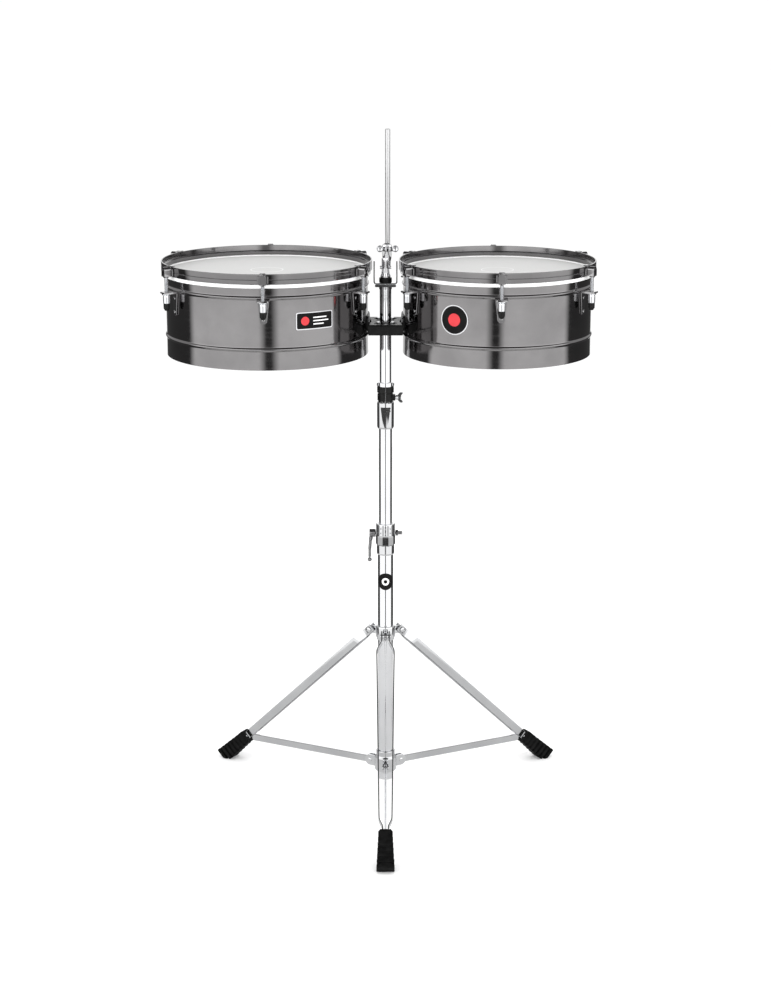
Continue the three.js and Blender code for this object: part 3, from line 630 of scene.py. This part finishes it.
def build_rod_holder():
    """The post with a funnel-shaped head, the eyebolt through it, its wing nut and the accessory rod."""
    post = [
        (0, 1012), (3.8, 1012), (3.8, 1039.1), (9.6, 1039.1), (9.4, 1042.5),
        (7.6, 1047), (7.2, 1052), (7.2, 1076), (0, 1076),
    ]
    funnel = [(0, 1056), (6.6, 1056), (6.8, 1066), (9.4, 1084), (10, 1095), (8, 1101.5), (4, 1104), (0, 1104)]
    head = shift(moved(pole(funnel, 64, 1.4), Matrix.Diagonal((1, 0.72, 1, 1))), ROD_X * 0.7)
    hole = rod((ROD_X, -10, EYE_Z), (ROD_X, 10, EYE_Z), 3.4, 28, 0)
    set_screws = [rod((s * 7, 0, 1058), (s * 10.6, 0, 1058), 3, 20, 0.6) for s in (-1, 1)]
    boss = pole([(0, 0), (6.2, 0), (6.2, 1.6), (5, 2.6), (0, 2.6)], 40, 0.5)
    boss = cut(turn_to(boss, (ROD_X, -5, EYE_Z), (0, -1, 0)), hole)
    whole = merged(pole(post, 64, 1.0), cut(head, hole), boss, *set_screws)
    piece("rod_post_body", whole, "upper_column", chrome, ["rod_post"])
    eye = rod((ROD_X, 7.6, EYE_Z), (ROD_X, 20.6, EYE_Z), 8, 48, 1.4)
    eye = cut(eye, rod((ROD_X, ROD_Y, 1070), (ROD_X, ROD_Y, 1120), 5.0, 40, 0))
    shank = rod((ROD_X, -22, EYE_Z), (ROD_X, 8, EYE_Z), 2.9, 24, 0.5)
    threads = []
    for k in range(4):
        y = -22 + 1.2 * k
        threads.append(rod((ROD_X, y, EYE_Z), (ROD_X, y + 0.7, EYE_Z), 3.15, 20, 0.15))
    piece("rod_eye_body", merged(eye, shank, *threads), "rod_eye", chrome, ["rod_clamp"])
    wings = []
    knob = [(0, 0), (5.2, 0), (6.4, 1.4), (6.4, 3.6), (5.4, 5), (4.2, 5), (3.4, 3.8), (0, 3.4)]
    for s in (1, -1):
        centre = ROD_X + s * 14.4
        wings.append(turn_to(pole(knob, 40, 0.6), (centre, -12.4, EYE_Z + 1), (0, -1, 0)))
        root = ROD_X + s * 3
        web = [(root, EYE_Z - 4.2), (centre, EYE_Z - 3), (centre, EYE_Z + 5), (root, EYE_Z + 4.4)]
        wings.append(slab(fillet(web[::s], 0.8, 3), -16, -13, 0.9, 3))
    hub = pole([(0, 0), (7, 0), (6.4, 3), (5.4, 9.4), (4.6, 10.6), (0, 10.6)], 40, 0.6)
    hub = turn_to(hub, (ROD_X, -7.6, EYE_Z), (0, -1, 0))
    nut = cut(hub, rod((ROD_X, -4, EYE_Z), (ROD_X, -24, EYE_Z), 3.3, 24, 0))
    piece("rod_wing_nut_body", merged(nut, *wings), "rod_nut", chrome, ["rod_wing_nut"])
    pin = pole([(0, 1077), (4.75, 1077, 0.8), (4.75, 1315, 2.0), (0, 1315)], 48, 1)
    piece("accessory_rod_body", shift(pin, ROD_X, ROD_Y), "rod", satin, ["accessory_rod"])


# ---- Drums --------------------------------------------------------------------------------
def wall_side(radius, heights, sign):
    """One side of a shell's wall, with a bead at each height. Sign is 1 upwards and -1 downwards."""
    pts = []
    for z in heights:
        pts.append((radius, z - sign * 5.0, 0))
        for k in range(-8, 9):
            t = k / 8
            pts.append((radius + BEAD_DEPTH * math.cos(t * math.pi / 2) ** 2, z + sign * BEAD_HALF * t, 0))
        pts.append((radius, z + sign * 5.0, 0))
    return pts


def shell_outline(r, wall=1.5):
    inner = r - wall
    bottom, top = SHELL_Z
    foot = [(inner, bottom, 0.5), (r + 0.4, bottom, 0.7), (r, bottom + 3, 1)]
    rim = [(r, top - 2, 1.5), (r - 2, top, 0.6), (inner - 2, top, 0.6), (inner, top - 3, 1)]
    return foot + wall_side(r, BEADS, 1) + rim + wall_side(inner, BEADS[::-1], -1)


def lug(r, angle):
    """A bracket riveted to the shell: a tab with a hole for the tension rod, and a plate below it."""
    tab = fillet([(r - 0.7, -12), (r + 27.3, -11), (r + 27.3, 11), (r - 0.7, 12)], 4, 5)
    tab = moved(slab(tab, 1025, 1028, 0.5), LAID_FLAT)
    tab = cut(tab, rod((r + TENSION_OUT, 0, 1020), (r + TENSION_OUT, 0, 1032), 4.2, 24, 0))
    side = [(-11, 1026), (-8, 1000)] + arc(0, 989, 6.8, 190, 350, 12) + [(8, 1000), (11, 1026)]
    plate = slab(fillet(side, 1.2, 2), 0, 2.6, 0.7, 3)
    plate = moved(plate, Matrix.Translation((r + 2.8, 0, 0)) @ QUARTER_TURN)
    dome = pole([(0, 0), (3.1, 0), (2.8, 1.0), (1.6, 1.8, 1), (0, 1.8)], 24, 0.3)
    rivets = [turn_to(dome, (r + 2.6, 0, z), (1, 0, 0)) for z in (1015, 990)]
    return spin(merged(tab, plate, *rivets), angle)


def claw(r, angle):
    """A hook over the counterhoop: an arched body with a pocket in front, wings, a neck and a lip."""
    face, depth = r + 8.3, 16.4
    arch = [(-6.9, 1056.5), (6.9, 1056.5)] + arc(0, 1067.5, 6.9, 0, 180, 18)
    body = slab(fillet(arch, 0.6, 2), 0, depth, 2.0, 5)
    pocket = slab([(-3.5, 1058.5), (3.5, 1058.5)] + arc(0, 1067.2, 3.5, 0, 180, 12), -1, 1.8, 0)
    channel = slab([(-4.2, 1050), (4.2, 1050)] + arc(0, 1065, 4.4, 0, 180, 12), 10.4, 20, 0)
    body = moved(cut(body, channel, pocket), Matrix.Translation((face + depth, 0, 0)) @ QUARTER_TURN)
    wings = block(face, face + 2.8, -10.2, 10.2, 1057, 1071, 0.9)
    neck = block(face + 0.1, face + 4, -5.5, 5.5, 1062, 1076.2, 0.8)
    lip = block(r + 2.2, face + 3, -5.5, 5.5, 1074.3, 1076.2, 0.7)
    bridge = rod((face + 6, 0, 1059), (face + 14.5, 0, 1059), 5.4, 24, 1)
    return spin(merged(body, wings, neck, lip, bridge), angle)


def tension_rod(r, angle):
    """A threaded rod and the tall nut below its lug."""
    profile = [(0, 1020)]
    z = 1021.0
    while z < 1057:
        profile += [(3.1, z, 0), (3.5, z + 0.5, 0), (3.1, z + 1.0, 0)]
        z += 1.1
    screw = pole(profile + [(0, z)], 20, 0)
    nut = [
        (0, 1007), (6.2, 1007), (6.6, 1010), (6.6, 1019),
        (6.0, 1022), (8.4, 1022.9), (8.4, 1024.7), (0, 1024.7),
    ]
    return spin(shift(merged(screw, pole(nut, 32, 0.5)), r + TENSION_OUT), angle)


def nut_cap(r, angle):
    body = pole([(0, 993), (3.4, 993.4, 1.6), (6.1, 998, 2.2), (6.1, 1008, 0.5), (0, 1008)], 32, 0.8)
    return spin(shift(body, r + TENSION_OUT), angle)


def build_drum(d):
    n, r, x, body = d["name"], d["r"], d["x"], d["name"] + "_drum"
    angles = [-90 - d["phase"] + 60 * i for i in range(6)]
    piece(n + "_shell_skin", shift(lathe(shell_outline(r), 240, 0, 2), x), body, nickel, [n + "_shell"])
    for i, a in enumerate(angles, 1):
        piece(f"{n}_lug_{i}", shift(lug(r, a), x), body, claw_nickel)
        piece(f"{n}_claw_{i}", shift(claw(r, a), x), body, claw_nickel, [f"{n}_tension_hook_{i}"])
        piece(f"{n}_tension_rod_{i}", shift(tension_rod(r, a), x), body, hook_chrome)
        piece(f"{n}_nut_cap_{i}", shift(nut_cap(r, a), x), body, cap_plastic)
    head = [
        (0, 1052.3), (r - 3, 1052.3, 1), (r + 0.4, 1051.2, 1), (r + 0.4, 1048.3),
        (r + 1.9, 1048.3), (r + 1.9, 1052, 1.4), (r - 2, 1053.5, 2), (0, 1053.5),
    ]
    piece(n + "_head_film", shift(pole(head, 160, 0.3), x), body, film, [n + "_head"])
    piece(n + "_head_mark", shift(tube(29.4, 31, 1053.45, 1053.62, 0), x), body, film_mark)
    # The flesh hoop ring's near-white paint is a painted highlight standing in for a bright metal ring.
    flesh = rectangle(r + 2.2, r + 5.6, 1048, 1055)
    piece(n + "_flesh_hoop_ring", shift(lathe(flesh, 200, 1.5, 4), x), body, flesh_hoop_painted_highlight, [n + "_flesh_hoop"])
    hoop = [
        (r + 2.3, 1055.3, 0.6), (r + 8, 1055.3, 0.9), (r + 8, 1062.8, 0.3),
        (r + 7.5, 1063.5, 0.2), (r + 8, 1064.2, 0.3), (r + 8, 1074, 1.0),
        (r + 5.4, 1074, 1.0), (r + 5.4, 1063.5, 0.8), (r + 2.3, 1062.6, 0.6),
    ]
    piece(n + "_counterhoop_ring", shift(lathe(hoop, 240, 0.5), x), body, hoop_nickel, [n + "_counterhoop"])
    inward = 0 if d["side"] < 0 else 180
    plate = wrap(fillet(rectangle(-34, 34, 941, 970), 7, 8), r + 0.35, 2.8, inward)
    stud = rod((r + 0.6, 0, TILT_Z), (r + 16, 0, TILT_Z), 4.5, 32, 0.5)
    lift = Vector((0, 0, 962))
    heads = []
    for dy in (-25, 25):
        across = Vector((math.cos(dy / r), math.sin(dy / r), 0))
        heads.append(rod(across * (r + 3) + lift, across * (r + 4.6) + lift, 4.4, 24, 0.8))
    fittings = spin(merged(stud, *heads), inward)
    piece(n + "_saddle_plate", shift(plate, x), body, paint, [n + "_mount_plate"])
    piece(n + "_saddle_fittings", shift(fittings, x), body, chrome)
    build_badge(d)


def build_badge(d):
    """A plain badge on the shell: a dot with three lines on the low drum, a dot in a disc on the high."""
    n, r, x, body = d["name"], d["r"], d["x"], d["name"] + "_drum"
    if d["side"] < 0:
        a, z = -60, 985.5
        rim = fillet(rectangle(-37.5, 37.5, z - 16, z + 16), 4, 6)
        inner = fillet(rectangle(-35.8, 35.8, z - 14.3, z + 14.3), 3.2, 6)
        dot = oval(-20, z, 8, 8, 40)
        bars = [(5.5, 24), (-0.5, 28), (-6.5, 18)]
    else:
        a, z = -118.7, 984.5
        rim = oval(0, z, 27.5, 27.5)
        inner = oval(0, z, 25.6, 25.6)
        dot = oval(0, z, 12, 12, 48)
        bars = []
    piece(n + "_badge_rim", shift(wrap(rim, r + 0.35, 0.7, a), x), body, badge_rim, [n + "_badge"])
    piece(n + "_badge_face", shift(wrap(inner, r + 1.05, 0.15, a), x), body, badge_black)
    piece(n + "_badge_emblem", shift(wrap(dot, r + 1.2, 0.12, a), x), body, badge_red)
    if bars:
        lines = [fillet(rectangle(-4, end, z + h - 1.1, z + h + 1.1), 0.8, 3) for h, end in bars]
        lines = [wrap(line, r + 1.2, 0.12, a) for line in lines]
        piece(n + "_badge_lines", shift(merged(*lines), x), body, badge_white)


build_tripod()
build_lower_clamp()
build_upper_clamp()
build_carrier()
build_rod_holder()
build_drum(LOW)
build_drum(HIGH)


# ---- Floor, light and camera --------------------------------------------------------------
cx, cy = COLUMN.x, COLUMN.y
FLOOR_FAR, FLOOR_Z = 400.0, -0.0006
LIT = {"radius": 1.05, "forward": 0.15}  # the patch of floor that polished metal sees
WHITE = 1.08  # the surround, for the camera and for soft light
ROOM, WALL, LIT_GREY = 0.07, 0.55, 0.55  # what polished metal sees: dim room, pale wall, floor patch
LENS, CAMERA_BACK, CAMERA_Z, CAMERA_PITCH = 75.14, 3.9162, 1.6278, 75.36

def floor_part(name, inner, outer, paint, in_reflections):
    """A flat ring of pale floor, or a disc where inner is 0."""
    n, y = 96, cy - LIT["forward"]
    around = [(math.cos(2 * math.pi * k / n), math.sin(2 * math.pi * k / n)) for k in range(n)]
    points = [(cx + outer * u, y + outer * v, FLOOR_Z) for u, v in around]
    faces = [tuple(range(n))]
    if inner:
        points += [(cx + inner * u, y + inner * v, FLOOR_Z) for u, v in around]
        faces = [(k, (k + 1) % n, n + (k + 1) % n, n + k) for k in range(n)]
    mesh = bpy.data.meshes.new(name)
    mesh.from_pydata(points, [], faces)
    mesh.materials.append(paint)
    obj = bpy.data.objects.new(name, mesh)
    bpy.context.collection.objects.link(obj)
    obj.visible_glossy = in_reflections


def build_floor():
    """Pale floor out to the horizon. Metal sees a greyer lit patch of it, then the dim room."""
    paint, tree, shader = new_material("floor", "floor")
    tree.links.new(ramp(tree, noise(tree, 2), grey(0.93), grey(0.95)), shader.inputs["Base Color"])
    shader.inputs["Roughness"].default_value = 0.9
    shader.inputs["Specular IOR Level"].default_value = 0.0
    darker = tree.nodes.new("ShaderNodeBsdfDiffuse")
    darker.inputs["Color"].default_value = (*grey(LIT_GREY), 1)
    ray = tree.nodes.new("ShaderNodeLightPath")
    choose = tree.nodes.new("ShaderNodeMixShader")
    tree.links.new(ray.outputs["Is Glossy Ray"], choose.inputs["Fac"])
    tree.links.new(shader.outputs["BSDF"], choose.inputs[1])
    tree.links.new(darker.outputs["BSDF"], choose.inputs[2])
    tree.links.new(choose.outputs["Shader"], tree.nodes["Material Output"].inputs["Surface"])
    floor_part("floor", 0, LIT["radius"], paint, True)
    floor_part("floor_far", LIT["radius"], FLOOR_FAR, paint, False)


def build_world():
    """White for the camera and for soft light. Reflections see a dim room with a pale wall."""
    world = bpy.data.worlds.new("studio")
    bpy.context.scene.world = world
    world.use_nodes = True
    tree = world.node_tree
    tree.nodes.clear()
    direction = tree.nodes.new("ShaderNodeTexCoord").outputs["Generated"]
    height = tree.nodes.new("ShaderNodeSeparateXYZ")
    tree.links.new(direction, height.inputs["Vector"])
    wall = ramp(tree, height.outputs["Z"], grey(ROOM), grey(WALL), at=(0.0, 0.06))
    stops = wall.node.color_ramp.elements
    stops.new(0.5).color = (*grey(WALL), 1)
    stops.new(0.75).color = (*grey(ROOM), 1)
    ray = tree.nodes.new("ShaderNodeLightPath")
    choose = tree.nodes.new("ShaderNodeMixShader")
    tree.links.new(ray.outputs["Is Glossy Ray"], choose.inputs["Fac"])
    plain_white = tree.nodes.new("ShaderNodeBackground")
    plain_white.inputs["Color"].default_value = (WHITE, WHITE, WHITE, 1)
    room = tree.nodes.new("ShaderNodeBackground")
    tree.links.new(wall, room.inputs["Color"])
    tree.links.new(plain_white.outputs["Background"], choose.inputs[1])
    tree.links.new(room.outputs["Background"], choose.inputs[2])
    result = tree.nodes.new("ShaderNodeOutputWorld")
    tree.links.new(choose.outputs["Shader"], result.inputs["Surface"])


def panel(name, location, size, target, strength, softness=0.25, in_reflections=True):
    """A softbox aimed at target: a rectangle that fades towards its left and right edges."""
    data = bpy.data.lights.new(name, "AREA")
    data.shape, data.size, data.size_y, data.energy = "RECTANGLE", size[0], size[1], strength
    data.use_nodes = True
    tree = data.node_tree
    place = tree.nodes.new("ShaderNodeNewGeometry")
    mapping = tree.nodes.new("ShaderNodeMapping")
    mapping.inputs["Scale"].default_value = (2, 0, 0)
    mapping.inputs["Location"].default_value = (-1, 0, 0)
    fade = tree.nodes.new("ShaderNodeTexGradient")
    fade.gradient_type = "SPHERICAL"
    tree.links.new(place.outputs["Parametric"], mapping.inputs["Vector"])
    tree.links.new(mapping.outputs["Vector"], fade.inputs["Vector"])
    glow = ramp(tree, fade.outputs["Fac"], grey(0), grey(1), at=(0.0, softness))
    tree.links.new(glow, tree.nodes["Emission"].inputs["Color"])
    obj = bpy.data.objects.new(name, data)
    obj.visible_camera = False
    obj.visible_glossy = in_reflections
    obj.rotation_mode = "QUATERNION"
    obj.location = location
    obj.rotation_quaternion = (Vector(target) - Vector(location)).to_track_quat("-Z", "Y")
    bpy.context.collection.objects.link(obj)


def build_lights():
    """Two tall softboxes in front, one on each side of the camera, one behind and one overhead."""
    azimuth, distance, height = math.radians(48), 2.2, 0.9
    size, watts = (4.4, 3.6), 62
    for name, side in (("left_softbox", -1), ("right_softbox", 1)):
        place = (cx + side * distance * math.sin(azimuth), cy - distance * math.cos(azimuth), height)
        panel(name, place, size, (cx, cy, height), watts)
    panel("back_softbox", (cx, cy + 2.6, 1.2), (2.6, 2.2), (cx, cy, 1.0), 14)
    panel("top_softbox", (cx, cy, 3.2), (2.4, 2.4), (cx, cy, 1.0), 16, in_reflections=False)


build_floor()
build_world()
build_lights()

camera_data = bpy.data.cameras.new("camera")
camera_data.sensor_width = 36
camera_data.sensor_fit = "AUTO"
camera_data.lens = LENS
camera = bpy.data.objects.new("camera", camera_data)
camera.location = (cx, cy - CAMERA_BACK, CAMERA_Z)
camera.rotation_euler = (math.radians(CAMERA_PITCH), 0, 0)
camera_data.clip_end = 1000
bpy.context.collection.objects.link(camera)
bpy.context.scene.camera = camera
bpy.context.scene.view_settings.view_transform = "Standard"
